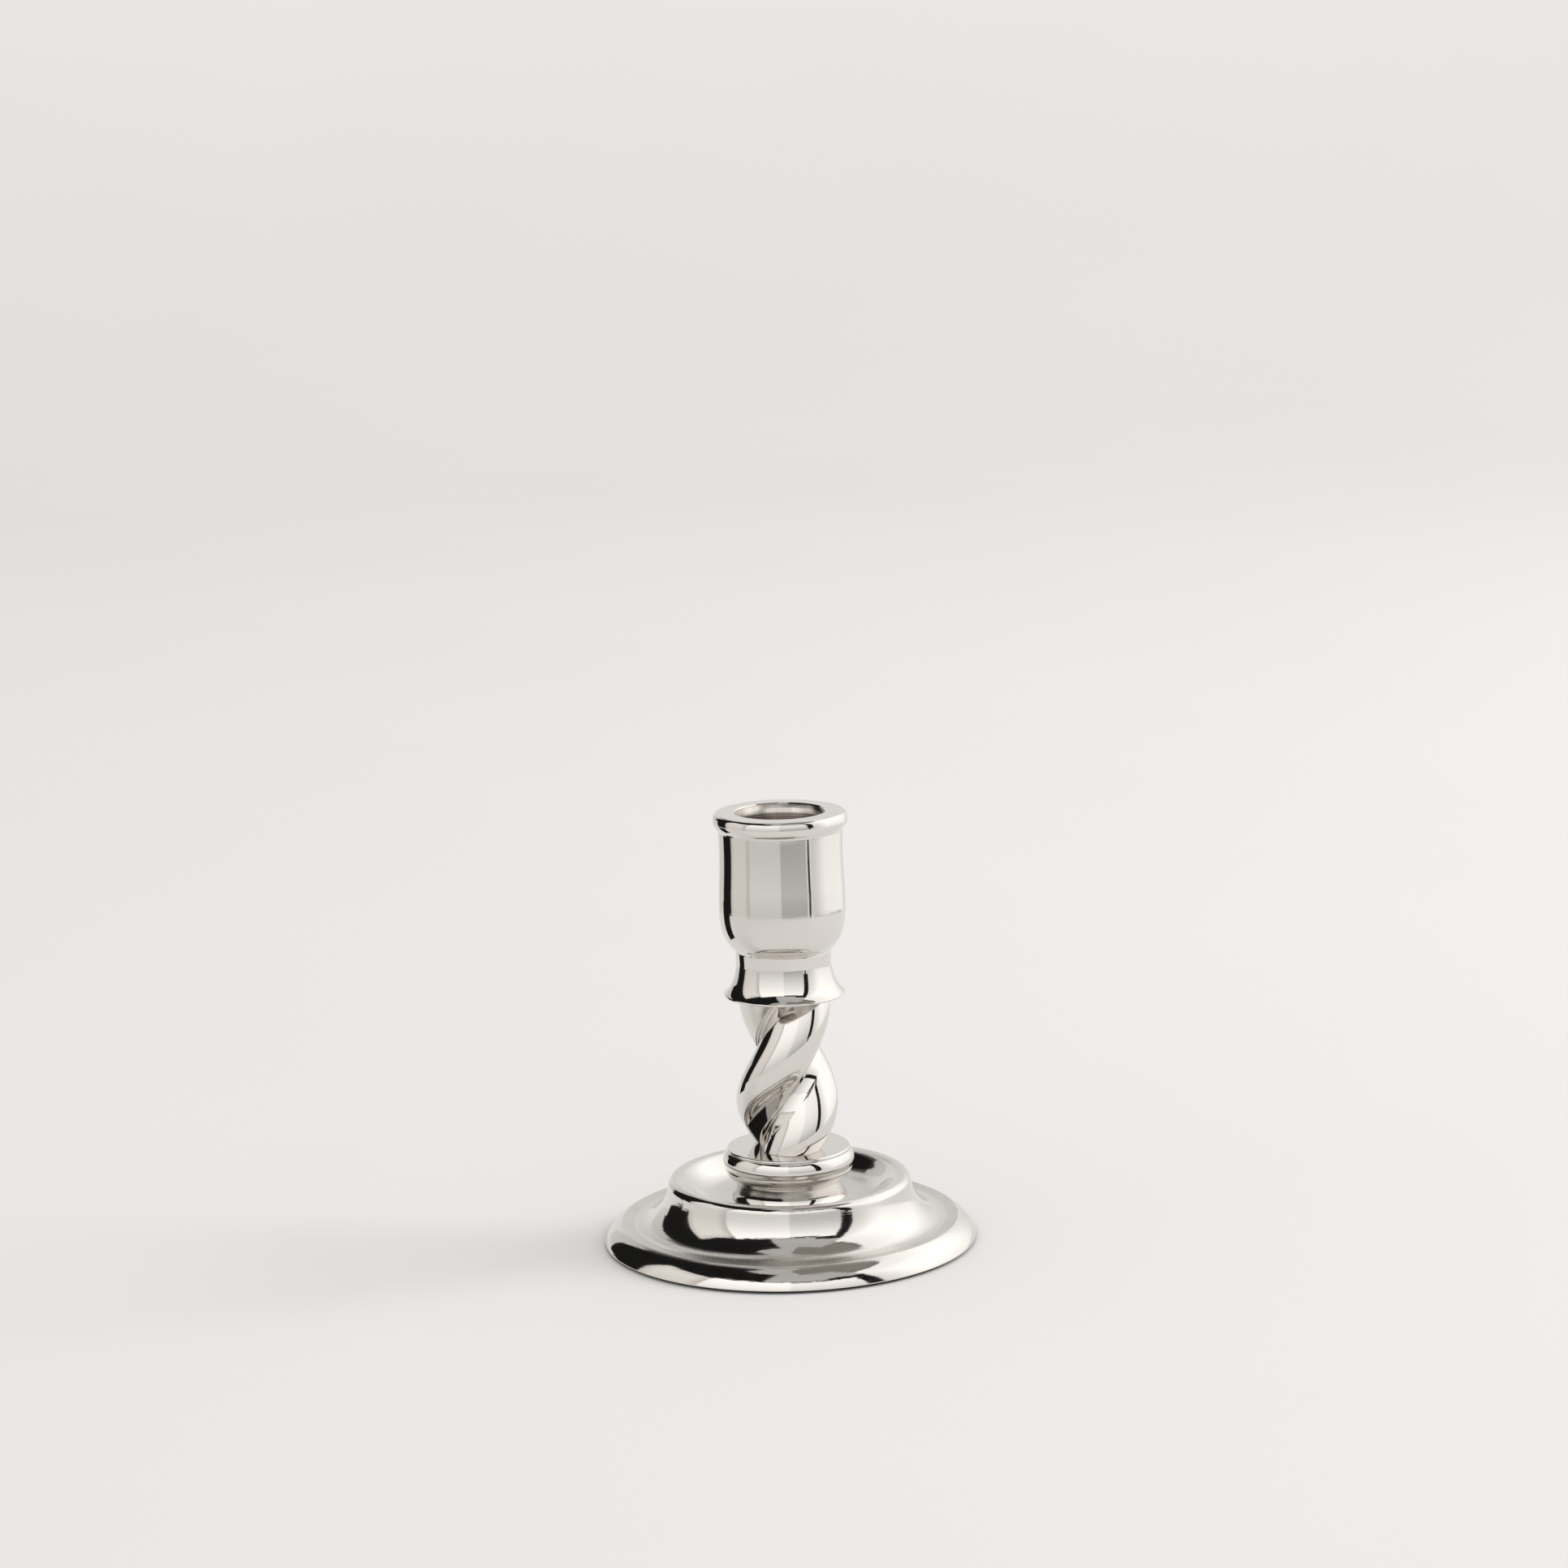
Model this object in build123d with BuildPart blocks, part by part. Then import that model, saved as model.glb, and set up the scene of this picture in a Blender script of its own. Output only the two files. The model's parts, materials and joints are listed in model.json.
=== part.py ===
"""A short candlestick with a twisted stem, built as turned and cast sections on one tie rod.

Every section is its own solid, stacked along +Z and clamped by a nut under the foot.
The origin is the centre of the surface that the candlestick stands on. Units are mm.
Profiles are drawn in the XZ plane as (radius, height) and revolved about Z.
"""
import os
from math import atan2, cos, pi, radians, sin, sqrt

from build123d import *

os.makedirs("parts", exist_ok=True)

# ---------------------------------------------------------------- driving dimensions
# heights of the joints between the sections, from the table up
SEAT_Z = 11.4  # the foot's flat seat, where the pedestal stands
PEDESTAL_TOP = 19.4
COLLAR_TOP = 24.8
LIP_Z = 64.9  # lowest edge of the flared skirt
STEM_TOP = 67.4  # the stem's upper face, up inside the skirt
CUP_BASE = 76.6
TOTAL_HEIGHT = 112.5

# foot
FOOT_R = 48.0
FOOT_EDGE_Z = 0.5  # the metal edge hangs this far above the table
CREST_R = 29.4
CREST_Z = 17.0
CREST_ROUND = 2.0  # radius of the roll from the crest into the wall
WALL_LEAN = 9.0  # degrees that the wall leans back from upright under the crest
BRIM_OUT_R = 43.4
BRIM_OUT_Z = 5.8
WALL = 2.5  # thickness of the cast foot at its seat

# felt ring under the rim
FELT_IN_R = 40.4
FELT_OUT_R = 47.2
FELT_T = 1.2
FELT_RECESS_R = 47.4

# pedestal and collar
PEDESTAL_R = 14.8
PEDESTAL_WAIST_R = 13.6
COLLAR_R = 16.9
COLLAR_FACE_R = 15.6

# stem: two round strands, twisted together like a rope
STRAND_R = 8.4
STRAND_OFFSET = 4.7  # from the stem's axis to each strand's centre
LEAD_TURN = 108.0  # degrees round the strand from its back to its sharp leading edge
LEAD_R = 0.8  # rounding of that edge
TRAIL_TURN = 98.0  # degrees the other way round, to where the strand starts to flatten
TRAIL_R = 3.0  # rounding from there into the flat flank
FLANK_TURN = 111.0  # direction that the flank faces, in degrees round the strand
GROOVE_R = 0.5  # rounding at the bottom of the grooves
TWIST_PITCH = 56.0  # height of one full right-hand turn
NARROW_Z = 50.8  # height where both strands lie in the YZ plane
BELLY_Z = 38.5  # height where the stem is fullest
TOP_SCALE = 0.87  # how much slimmer it is at the skirt
FOOT_SCALE = 0.88  # and where it meets the collar
SECTION_STEP = 2.4  # height between lofted sections

# skirt and cup
SKIRT_NECK_R = 12.2
SKIRT_LIP_R = 15.5
SKIRT_RECESS_R = 12.2
CUP_BASE_R = 12.5
CUP_R = 15.93
CUP_BELLY_R = 16.2
CUP_WAIST_R = 15.81
RIM_R = 17.2
RIM_FACE_R = 15.9
RIM_UNDER_Z = 108.2

# candle socket
SOCKET_R = 11.5
SOCKET_DEPTH = 25.0
SOCKET_BEVEL = 0.3

# centring spigots, each turned on a section and let into the next one
SPIGOT_R = 6.0
STEM_SPIGOT_R = 4.6  # slimmer, so the grooves don't uncover it
SPIGOT_L = 2.0
CUP_SPIGOT_R = 8.0
FIT = 0.05  # radial clearance of every spigot and of the rod in the cup
GAP = 0.2  # clearance over the end of every spigot

# tie rod and its fasteners, M6
ROD_R = 3.0
ROD_HOLE_R = 3.3
ROD_LOW_Z = 1.4
ROD_TOP_Z = 83.0
TAP_HOLE_TOP = 84.5
CLAMP_WASHER_R = 11.0
CLAMP_WASHER_T = 1.2
LOCK_WASHER_R = 5.3
LOCK_WASHER_T = 1.6
LOCK_WASHER_SPLIT = 0.9
NUT_FLATS = 10.0
NUT_T = 3.2
NUT_HOLE_R = ROD_R + FIT
EDGE = 0.3  # small bevel on turned edges

seat_under = SEAT_Z - WALL


# ---------------------------------------------------------------- foot
# a cast dish: saucer brim, upright wall with a rounded crest, hollow middle with a flat seat
with BuildPart() as foot:
    with BuildSketch(Plane.XZ):
        with BuildLine():
            seat_in = (SPIGOT_R + FIT, SEAT_Z)
            seat_out = (PEDESTAL_R + 1.0, SEAT_Z)
            crest = (CREST_R, CREST_Z)
            roll_z = CREST_Z - CREST_ROUND
            lean = radians(WALL_LEAN)
            halfway = radians(50)
            crest_mid = (CREST_R + CREST_ROUND * cos(halfway), roll_z + CREST_ROUND * sin(halfway))
            wall_top = (CREST_R + CREST_ROUND * cos(lean), roll_z + CREST_ROUND * sin(lean))
            brim_out = (BRIM_OUT_R, BRIM_OUT_Z)
            edge_top = (FOOT_R, FOOT_EDGE_Z + 0.5)
            edge_low = (FOOT_R - 0.3, FOOT_EDGE_Z)
            Line(seat_in, seat_out)
            Spline(seat_out, (23.6, 13.7), crest, tangents=[(1, 0), (1, 0)])
            ThreePointArc(crest, crest_mid, wall_top)
            wall_points = [wall_top, (32.2, 11.75), (35.05, 7.75), (39.0, 5.66), brim_out]
            Spline(wall_points, tangents=[(sin(lean), -cos(lean)), (1, 0.12)])
            ThreePointArc(brim_out, (46.3, 3.75), edge_top)
            Line(edge_top, (FOOT_R, FOOT_EDGE_Z + 0.3))
            Line((FOOT_R, FOOT_EDGE_Z + 0.3), edge_low)
            Line(edge_low, (FELT_RECESS_R, FOOT_EDGE_Z))
            Line((FELT_RECESS_R, FOOT_EDGE_Z), (FELT_RECESS_R, FELT_T))
            Line((FELT_RECESS_R, FELT_T), (FELT_IN_R - 0.4, FELT_T))
            hollow_out = (FELT_IN_R - 1.2, 3.0)
            Line((FELT_IN_R - 0.4, FELT_T), hollow_out)
            inner_wall = [
                hollow_out,
                (33.6, 6.0),
                (29.8, 11.3),
                (28.2, 13.9),
                (25.0, 11.8),
                (21.0, 9.7),
                (16.0, seat_under),
            ]
            Spline(inner_wall, tangents=[(-1, 0.12), (-1, 0)])
            Line((16.0, seat_under), (SPIGOT_R + FIT, seat_under))
            Line((SPIGOT_R + FIT, seat_under), seat_in)
        make_face()
    revolve(axis=Axis.Z)
foot.part.label = "foot"
export_step(foot.part, "parts/foot.step")


# ---------------------------------------------------------------- felt ring
# glued under the rim, the only thing that touches the table
with BuildPart() as felt_ring:
    with BuildSketch():
        Circle(FELT_OUT_R)
        Circle(FELT_IN_R, mode=Mode.SUBTRACT)
    extrude(amount=FELT_T)
felt_ring.part.label = "felt_ring"
export_step(felt_ring.part, "parts/felt_ring.step")


# ---------------------------------------------------------------- pedestal
# hollow-necked ring between the foot and the collar, with a spigot down into the foot
with BuildPart() as pedestal:
    with BuildSketch(Plane.XZ):
        with BuildLine():
            spigot_low = SEAT_Z - SPIGOT_L
            Polyline(
                (ROD_HOLE_R, PEDESTAL_TOP),
                (ROD_HOLE_R, spigot_low),
                (SPIGOT_R - EDGE, spigot_low),
                (SPIGOT_R, spigot_low + EDGE),
                (SPIGOT_R, SEAT_Z),
                (PEDESTAL_R, SEAT_Z),
                (PEDESTAL_R, SEAT_Z + 0.4),
            )
            neck_top = (PEDESTAL_R + 0.2, 17.2)
            ThreePointArc((PEDESTAL_R, SEAT_Z + 0.4), (PEDESTAL_WAIST_R, 14.4), neck_top)
            Line(neck_top, (PEDESTAL_R + 0.6, 17.35))
            ThreePointArc((PEDESTAL_R + 0.6, 17.35), (16.05, 18.1), (16.4, PEDESTAL_TOP - 0.15))
            Line((16.4, PEDESTAL_TOP - 0.15), (16.2, PEDESTAL_TOP))
            Line((16.2, PEDESTAL_TOP), (ROD_HOLE_R, PEDESTAL_TOP))
        make_face()
    revolve(axis=Axis.Z)
    with BuildSketch(Plane.XY.offset(PEDESTAL_TOP)):
        Circle(SPIGOT_R + FIT)
    extrude(amount=-(SPIGOT_L + GAP), mode=Mode.SUBTRACT)
pedestal.part.label = "pedestal"
export_step(pedestal.part, "parts/pedestal.step")


# ---------------------------------------------------------------- collar
# convex moulding with a fine step under its flat top, where the stem stands
with BuildPart() as collar:
    with BuildSketch(Plane.XZ):
        with BuildLine():
            spigot_low = PEDESTAL_TOP - SPIGOT_L
            step_z = COLLAR_TOP - 0.8
            Polyline(
                (ROD_HOLE_R, COLLAR_TOP),
                (ROD_HOLE_R, spigot_low),
                (SPIGOT_R - EDGE, spigot_low),
                (SPIGOT_R, spigot_low + EDGE),
                (SPIGOT_R, PEDESTAL_TOP),
                (16.2, PEDESTAL_TOP),
                (16.45, PEDESTAL_TOP + 0.2),
            )
            band_low = (16.45, PEDESTAL_TOP + 0.2)
            band_high = (COLLAR_FACE_R + 0.35, step_z - 0.05)
            ThreePointArc(band_low, (COLLAR_R, 21.3), band_high)
            Line(band_high, (COLLAR_FACE_R + 0.05, step_z))
            Line((COLLAR_FACE_R + 0.05, step_z), (COLLAR_FACE_R + 0.2, step_z + 0.1))
            bead_mid = (COLLAR_FACE_R + 0.2, COLLAR_TOP - 0.25)
            ThreePointArc((COLLAR_FACE_R + 0.2, step_z + 0.1), bead_mid, (COLLAR_FACE_R - 0.15, COLLAR_TOP))
            Line((COLLAR_FACE_R - 0.15, COLLAR_TOP), (ROD_HOLE_R, COLLAR_TOP))
        make_face()
    revolve(axis=Axis.Z)
    with BuildSketch(Plane.XY.offset(COLLAR_TOP)):
        Circle(STEM_SPIGOT_R + FIT)
    extrude(amount=-(SPIGOT_L + GAP), mode=Mode.SUBTRACT)
collar.part.label = "collar"
export_step(collar.part, "parts/collar.step")


# ---------------------------------------------------------------- twisted stem
def stem_scale(height):
    """Fullness of the strands: 1 at the belly, easing to the two end values."""
    if height > BELLY_Z:
        reach = (height - BELLY_Z) / (STEM_TOP - BELLY_Z)
        return 1.0 - (1.0 - TOP_SCALE) * reach**1.5
    reach = (BELLY_Z - height) / (BELLY_Z - COLLAR_TOP)
    return 1.0 - (1.0 - FOOT_SCALE) * reach**3


def stem_angle(height):
    """Direction of the line through both strands, in degrees from the X axis."""
    return 90.0 + (height - NARROW_Z) * 360.0 / TWIST_PITCH


section_count = round((STEM_TOP - COLLAR_TOP) / SECTION_STEP)
section_heights = [
    COLLAR_TOP + (STEM_TOP - COLLAR_TOP) * step / section_count for step in range(section_count + 1)
]

def arc_points(centre, r, start, end):
    """Start, middle and end of an arc, with its angles in radians."""
    turns = (start, (start + end) / 2, end)
    return [(centre[0] + r * cos(turn), centre[1] + r * sin(turn)) for turn in turns]


def strand_arcs(full):
    """The four arcs of one strand, from the next groove round its back to its own groove."""
    strand, offset = STRAND_R * full, STRAND_OFFSET * full
    lead_r, trail_r, groove_r = LEAD_R * full, TRAIL_R * full, GROOVE_R * full
    lead, trail, flank = radians(LEAD_TURN), radians(TRAIL_TURN), radians(FLANK_TURN)
    lead_x = offset + (strand - lead_r) * cos(lead)
    lead_y = (strand - lead_r) * sin(lead)
    trail_x = offset + (strand - trail_r) * cos(trail)
    trail_y = -(strand - trail_r) * sin(trail)
    # the groove's rounding touches the next strand's flank and this strand's leading edge
    flank_x = -trail_x - (trail_r + groove_r) * cos(flank)
    flank_y = -trail_y + (trail_r + groove_r) * sin(flank)
    gap_x, gap_y = flank_x - lead_x, flank_y - lead_y
    shift = gap_x * sin(flank) + gap_y * cos(flank)
    length = -shift - sqrt(shift**2 - gap_x**2 - gap_y**2 + (lead_r + groove_r) ** 2)
    groove_x = flank_x + sin(flank) * length
    groove_y = flank_y + cos(flank) * length
    meet = atan2(groove_y - lead_y, groove_x - lead_x) % (2 * pi)
    return [
        arc_points((trail_x, trail_y), trail_r, -flank, -trail),
        arc_points((offset, 0), strand, -trail, lead),
        arc_points((lead_x, lead_y), lead_r, lead, meet),
        arc_points((groove_x, groove_y), groove_r, meet - pi, -flank),
    ]


with BuildPart() as twisted_stem:
    for height in section_heights:
        arcs = strand_arcs(stem_scale(height))
        with BuildSketch(Plane((0, 0, height)).rotated((0, 0, stem_angle(height)))):
            with BuildLine():
                for side in (1, -1):
                    for arc in arcs:
                        ThreePointArc(*[(side * x, side * y) for x, y in arc])
                    flank_start, flank_end = arcs[-1][-1], arcs[0][0]
                    Line(
                        (side * flank_start[0], side * flank_start[1]),
                        (-side * flank_end[0], -side * flank_end[1]),
                    )
            make_face()
    loft()
    # spigots at both ends, then the hole for the tie rod
    with BuildSketch(Plane.XY.offset(COLLAR_TOP - SPIGOT_L)):
        Circle(STEM_SPIGOT_R)
    extrude(amount=SPIGOT_L)
    with BuildSketch(Plane.XY.offset(STEM_TOP)):
        Circle(STEM_SPIGOT_R)
    extrude(amount=SPIGOT_L)
    with BuildSketch(Plane.XY.offset(COLLAR_TOP - SPIGOT_L)):
        Circle(ROD_HOLE_R)
    extrude(amount=STEM_TOP - COLLAR_TOP + 2 * SPIGOT_L, mode=Mode.SUBTRACT)
twisted_stem.part.label = "twisted_stem"
export_step(twisted_stem.part, "parts/twisted_stem.step")


# ---------------------------------------------------------------- skirt
# a bell that flares over the stem's top, hollow underneath, with a plain neck above
with BuildPart() as skirt:
    with BuildSketch(Plane.XZ):
        with BuildLine():
            neck_top = (SKIRT_NECK_R + 0.1, CUP_BASE - 0.2)
            neck_low = (SKIRT_NECK_R, 73.6)
            lip_top = (SKIRT_LIP_R - 0.1, LIP_Z + 0.65)
            lip_low = (SKIRT_LIP_R - 0.45, LIP_Z)
            Polyline(
                (ROD_HOLE_R, STEM_TOP),
                (ROD_HOLE_R, CUP_BASE),
                (SKIRT_NECK_R - 0.1, CUP_BASE),
                neck_top,
                neck_low,
            )
            Spline(neck_low, (12.75, 69.9), lip_top, tangents=[(0, -1), (1, -0.75)])
            ThreePointArc(lip_top, (SKIRT_LIP_R, LIP_Z + 0.28), lip_low)
            Line(lip_low, (SKIRT_LIP_R - 0.9, LIP_Z))
            recess_rim = (SKIRT_LIP_R - 0.9, LIP_Z)
            ThreePointArc(recess_rim, (13.3, 66.5), (SKIRT_RECESS_R, STEM_TOP))
            Line((SKIRT_RECESS_R, STEM_TOP), (ROD_HOLE_R, STEM_TOP))
        make_face()
    revolve(axis=Axis.Z)
    with BuildSketch(Plane.XY.offset(STEM_TOP)):
        Circle(STEM_SPIGOT_R + FIT)
    extrude(amount=SPIGOT_L + GAP, mode=Mode.SUBTRACT)
    with BuildSketch(Plane.XY.offset(CUP_BASE)):
        Circle(CUP_SPIGOT_R + FIT)
    extrude(amount=-(SPIGOT_L + GAP), mode=Mode.SUBTRACT)
skirt.part.label = "skirt"
export_step(skirt.part, "parts/skirt.step")


# ---------------------------------------------------------------- candle cup
# thick-walled cup with a round rim bead; the tie rod screws into its base from below
socket_floor = TOTAL_HEIGHT - SOCKET_DEPTH
spigot_low = CUP_BASE - SPIGOT_L

with BuildPart() as candle_cup:
    with BuildSketch(Plane.XZ):
        with BuildLine():
            Polyline(
                (0, socket_floor),
                (0, TAP_HOLE_TOP),
                (ROD_R + FIT, TAP_HOLE_TOP - 1.2),
                (ROD_R + FIT, spigot_low),
                (CUP_SPIGOT_R - EDGE, spigot_low),
                (CUP_SPIGOT_R, spigot_low + EDGE),
                (CUP_SPIGOT_R, CUP_BASE),
                (CUP_BASE_R - 0.2, CUP_BASE),
                (CUP_BASE_R, CUP_BASE + 0.25),
            )
            Line((CUP_BASE_R, CUP_BASE + 0.25), (CUP_BASE_R + 0.3, CUP_BASE + 0.7))
            cup_low = (CUP_BASE_R + 0.3, CUP_BASE + 0.7)
            cup_high = (CUP_R, RIM_UNDER_Z - 0.4)
            bowl_top = (16.05, 94.0)
            bowl = [cup_low, (14.95, 80.2), (16.0, 84.2), (CUP_BELLY_R, 88.3), bowl_top]
            Spline(bowl, tangents=[(1, 0.85), (-0.06, 1)])
            ThreePointArc(bowl_top, (CUP_WAIST_R, 101.0), cup_high)
            rim_low = (CUP_R + 0.17, RIM_UNDER_Z)
            Line(cup_high, rim_low)
            rim_high = (RIM_FACE_R, TOTAL_HEIGHT)
            rim_shoulder = (17.0, 111.75)
            ThreePointArc(rim_low, (RIM_R, 110.5), rim_shoulder)
            ThreePointArc(rim_shoulder, (16.57, 112.29), rim_high)
            Polyline(
                rim_high,
                (SOCKET_R + SOCKET_BEVEL, TOTAL_HEIGHT),
                (SOCKET_R, TOTAL_HEIGHT - SOCKET_BEVEL),
                (SOCKET_R, socket_floor),
                (0, socket_floor),
            )
        make_face()
    revolve(axis=Axis.Z)
candle_cup.part.label = "candle_cup"
export_step(candle_cup.part, "parts/candle_cup.step")


# ---------------------------------------------------------------- tie rod
# M6 rod with bevelled ends, shown at its outer thread diameter
with BuildPart() as tie_rod:
    with BuildSketch(Plane.XY.offset(ROD_LOW_Z)):
        Circle(ROD_R)
    extrude(amount=ROD_TOP_Z - ROD_LOW_Z)
    chamfer(edges().filter_by(GeomType.CIRCLE), length=0.6)
tie_rod.part.label = "tie_rod"
export_step(tie_rod.part, "parts/tie_rod.step")


# ---------------------------------------------------------------- clamp washer
clamp_washer_low = seat_under - CLAMP_WASHER_T
with BuildPart() as clamp_washer:
    with BuildSketch(Plane.XY.offset(clamp_washer_low)):
        Circle(CLAMP_WASHER_R)
        Circle(ROD_HOLE_R, mode=Mode.SUBTRACT)
    extrude(amount=CLAMP_WASHER_T)
    chamfer(edges().group_by(Axis.Z)[0].sort_by(SortBy.RADIUS)[-1], length=EDGE)
clamp_washer.part.label = "clamp_washer"
export_step(clamp_washer.part, "parts/clamp_washer.step")


# ---------------------------------------------------------------- lock washer
# spring washer, squeezed flat under the nut, with its slanted split closed to a slot
lock_washer_low = clamp_washer_low - LOCK_WASHER_T
with BuildPart() as lock_washer:
    with BuildSketch(Plane.XY.offset(lock_washer_low)):
        Circle(LOCK_WASHER_R)
        Circle(ROD_R + 0.1, mode=Mode.SUBTRACT)
    extrude(amount=LOCK_WASHER_T)
    lean = LOCK_WASHER_T * 0.5
    with BuildSketch(Plane.XZ.offset(-2.0)):
        with BuildLine():
            Polyline(
                (-lean - LOCK_WASHER_SPLIT / 2, lock_washer_low),
                (-lean + LOCK_WASHER_SPLIT / 2, lock_washer_low),
                (lean + LOCK_WASHER_SPLIT / 2, lock_washer_low + LOCK_WASHER_T),
                (lean - LOCK_WASHER_SPLIT / 2, lock_washer_low + LOCK_WASHER_T),
                close=True,
            )
        make_face()
    extrude(amount=-LOCK_WASHER_R, mode=Mode.SUBTRACT)
lock_washer.part.label = "lock_washer"
export_step(lock_washer.part, "parts/lock_washer.step")


# ---------------------------------------------------------------- hex nut
# thin M6 nut, its corners turned off at both faces
nut_low = lock_washer_low - NUT_T
nut_corner_r = NUT_FLATS / 2 / cos(radians(30))
with BuildPart() as hex_nut:
    with BuildSketch(Plane.XY.offset(nut_low)):
        RegularPolygon(nut_corner_r, 6)
        Circle(NUT_HOLE_R, mode=Mode.SUBTRACT)
    extrude(amount=NUT_T)
    with BuildSketch(Plane.XZ):
        with BuildLine():
            corner_drop = (nut_corner_r - NUT_FLATS / 2 + 0.2) * sin(pi / 6)
            Polyline(
                (0, nut_low),
                (NUT_FLATS / 2 - 0.2, nut_low),
                (nut_corner_r, nut_low + corner_drop),
                (nut_corner_r, nut_low + NUT_T - corner_drop),
                (NUT_FLATS / 2 - 0.2, nut_low + NUT_T),
                (0, nut_low + NUT_T),
                close=True,
            )
        make_face()
    revolve(axis=Axis.Z, mode=Mode.INTERSECT)
hex_nut.part.label = "hex_nut"
export_step(hex_nut.part, "parts/hex_nut.step")
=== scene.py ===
"""Silver candlestick: high-resolution meshes, materials, light and camera around the CAD frame."""
import json
from math import atan2, ceil, cos, degrees, hypot, pi, radians, sin, sqrt, tan

import bpy
from mathutils import Matrix, Vector, noise


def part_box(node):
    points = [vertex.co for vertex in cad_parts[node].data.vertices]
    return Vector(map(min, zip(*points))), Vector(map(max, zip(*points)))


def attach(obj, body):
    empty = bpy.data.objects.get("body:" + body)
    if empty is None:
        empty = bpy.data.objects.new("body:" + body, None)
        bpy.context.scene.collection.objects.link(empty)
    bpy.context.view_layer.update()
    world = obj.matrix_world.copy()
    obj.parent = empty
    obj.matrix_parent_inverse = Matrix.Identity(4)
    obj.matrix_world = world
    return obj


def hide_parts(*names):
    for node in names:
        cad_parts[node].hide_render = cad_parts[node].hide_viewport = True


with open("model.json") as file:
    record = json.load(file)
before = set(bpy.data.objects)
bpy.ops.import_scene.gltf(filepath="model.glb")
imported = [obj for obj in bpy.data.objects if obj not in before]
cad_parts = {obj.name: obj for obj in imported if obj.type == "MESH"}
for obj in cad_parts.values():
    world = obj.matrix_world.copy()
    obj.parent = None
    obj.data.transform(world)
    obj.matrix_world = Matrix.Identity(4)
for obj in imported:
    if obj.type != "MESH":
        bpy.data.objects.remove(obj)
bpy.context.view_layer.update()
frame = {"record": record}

MM = 0.001
AROUND = 360  # columns in a turned mesh


def low(node):
    """Height of a CAD node's underside, in mm."""
    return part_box(node)[0][2] / MM


def top(node):
    """Height of a CAD node's upper side, in mm."""
    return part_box(node)[1][2] / MM


def radius(node):
    """Largest radius of a turned CAD node, in mm."""
    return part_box(node)[1][0] / MM


# ------------------------------------------------------------------ sizes in mm, as in the CAD
FOOT_R = radius("foot")
FOOT_EDGE_Z = low("foot")
CREST_R = 29.4
CREST_Z = top("foot")
CREST_ROUND = 2.0  # radius of the crest's rounding
WALL_LEAN = 9.0  # degrees off upright
BRIM_OUT_R = 43.4
BRIM_OUT_Z = 5.8
SEAT_T = 2.5  # thickness of the foot's seat

FELT_T = top("felt_ring")
FELT_OUT_R = radius("felt_ring")
FELT_IN_R = FELT_OUT_R - 6.8
FELT_RECESS_R = FOOT_R - 0.6

SPIGOT_R = 6.0
STEM_SPIGOT_R = 4.6
SPIGOT_L = 2.0
CUP_SPIGOT_R = 8.0
FIT = 0.05  # radial clearance round every spigot
GAP = 0.2  # room left past the end of a spigot
EDGE = 0.3  # bevel of the foot's edge, the spigots and the washer
ROD_HOLE_R = 3.3

SEAT_Z = low("pedestal") + SPIGOT_L
PEDESTAL_TOP = top("pedestal")
PEDESTAL_R = 14.8
PEDESTAL_WAIST_R = 13.6
PEDESTAL_FACE_R = 16.2
COLLAR_TOP = top("collar")
COLLAR_R = radius("collar")
COLLAR_FACE_R = 15.6

STEM_TOP = top("twisted_stem") - SPIGOT_L
STRAND_R = 8.4
STRAND_OFFSET = 4.7  # from the axis to the centre of a strand's back
LEAD_TURN = 108.0  # degrees of the back before the leading edge
LEAD_R = 0.8  # rounding of the leading edge
TRAIL_TURN = 98.0  # degrees of the back before the trailing side
TRAIL_R = 3.0
FLANK_TURN = 111.0  # turn from -X to the flat flank's normal, in degrees
GROOVE_R = 0.5  # rounding at the bottom of the groove
TWIST_PITCH = 56.0  # height of one full turn
NARROW_Z = 50.8  # height where both strands lie on the Y axis
BELLY_Z = 38.5  # height where the stem is fullest
TOP_SCALE = 0.87
FOOT_SCALE = 0.88

LIP_Z = low("skirt")
CUP_BASE = top("skirt")
SKIRT_LIP_R = radius("skirt")
SKIRT_NECK_R = 12.2
SKIRT_RECESS_R = 12.2

TOTAL_HEIGHT = top("candle_cup")
RIM_R = radius("candle_cup")
RIM_FACE_R = 15.9
RIM_UNDER_Z = 108.2
CUP_BASE_R = 12.5
CUP_R = 15.93
CUP_BELLY_R = 16.2
CUP_WAIST_R = 15.81
SOCKET = next(m for m in frame["record"]["mounts"] if m["name"] == "candle_socket")
SOCKET_R = SOCKET["dims"]["r_mm"]
SOCKET_DEPTH = 25.0
SOCKET_BEVEL = 0.3
TAP_HOLE_TOP = 84.5  # tip of the tapped hole's cone
TAP_CONE = 1.2  # height of that cone

ROD_R = radius("tie_rod")
NUT_FLATS = 10.0


# ------------------------------------------------------------------ outlines
# An outline is a list of (radius, height, direction) with the direction along the outline.
STEP = 0.24  # spacing of points along curves, mm
STRAIGHT_STEP = 3.0  # widest spacing of points along straight runs, mm
SAME = 1e-4  # points closer than this count as one, mm
SMOOTH_JOINT = 2.0  # a bend smaller than this isn't rounded, degrees
FILLET_STEP = 11.0  # bend per point round a corner, degrees
FILLET_SHARE = 0.42  # most of a run that the rounding of one corner takes
FILLET_CLEAR = 1.02  # points within this many times the rounding's reach are dropped


def line(a, b):
    """Straight run with evenly spaced points."""
    length = hypot(b[0] - a[0], b[1] - a[1])
    way = ((b[0] - a[0]) / length, (b[1] - a[1]) / length)
    count = max(1, ceil(length / STRAIGHT_STEP))
    return [
        (a[0] + way[0] * length * k / count, a[1] + way[1] * length * k / count, way)
        for k in range(count + 1)
    ]


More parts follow.
